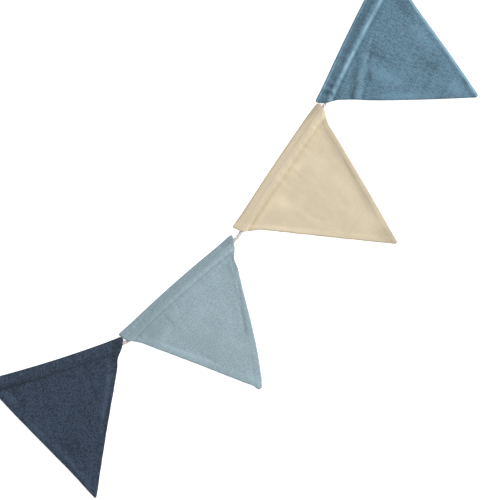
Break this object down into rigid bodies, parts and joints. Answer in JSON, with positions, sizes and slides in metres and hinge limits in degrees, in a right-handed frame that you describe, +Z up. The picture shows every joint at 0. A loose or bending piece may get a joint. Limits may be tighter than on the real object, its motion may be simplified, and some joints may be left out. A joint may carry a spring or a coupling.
{
  "type": "fabric bunting",
  "caption": "Garland of triangular cotton canvas pennants, each strung by its stitched top casing on one twisted cotton cord with knotted free ends, laid out flat.",
  "frame": {"origin": "middle of the garland's footprint, without its free cord ends, on its flat back", "axes": "+X along the garland from the navy pennant to the mid blue one, -Y from the casings to the pennants' tips, +Z up out of the cloth"},
  "size_m": [0.7507, 0.2643, 0.0106],
  "materials": {
    "canvas_navy": "matt plain-weave cotton canvas",
    "canvas_pale_blue": "matt plain-weave cotton canvas",
    "canvas_cream": "matt plain-weave cotton canvas",
    "canvas_mid_blue": "matt plain-weave cotton canvas, slightly streaked",
    "cotton_cord": "matt twisted cotton"
  },
  "bodies": {
    "root": {"pennant_navy": "canvas_navy", "pennant_pale_blue": "canvas_pale_blue", "pennant_cream": "canvas_cream", "pennant_mid_blue": "canvas_mid_blue", "cord_run": "cotton_cord", "tail_left": "cotton_cord", "tail_right": "cotton_cord", "knot_left": "cotton_cord", "knot_right": "cotton_cord"}
  },
  "joints": []
}
